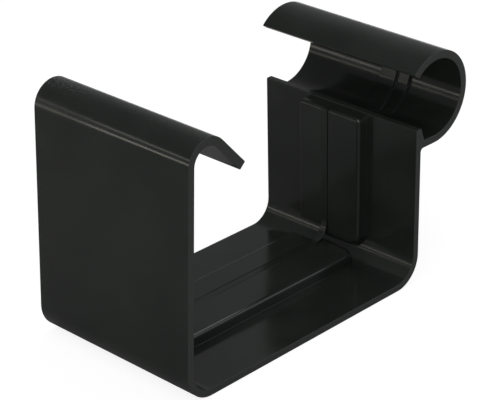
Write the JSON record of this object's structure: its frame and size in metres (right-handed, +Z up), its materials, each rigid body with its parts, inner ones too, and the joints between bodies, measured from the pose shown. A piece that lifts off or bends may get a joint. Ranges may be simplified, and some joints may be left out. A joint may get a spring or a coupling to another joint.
{
  "type": "box gutter connector",
  "caption": "Moulded plastic connector that joins box gutter lengths: square channel with a sloped back flange, a round bead socket on the front wall and a raised sealing band inside.",
  "frame": {"origin": "on the underside of the floor, midway across the channel and midway along it", "axes": "+X along the gutter, +Y towards the beaded front edge, +Z up"},
  "size_m": [0.044, 0.0879, 0.0574],
  "materials": {
    "plastic": "satin near-black anthracite, as moulded"
  },
  "bodies": {
    "root": {"gutter_connector": "plastic"}
  },
  "joints": []
}
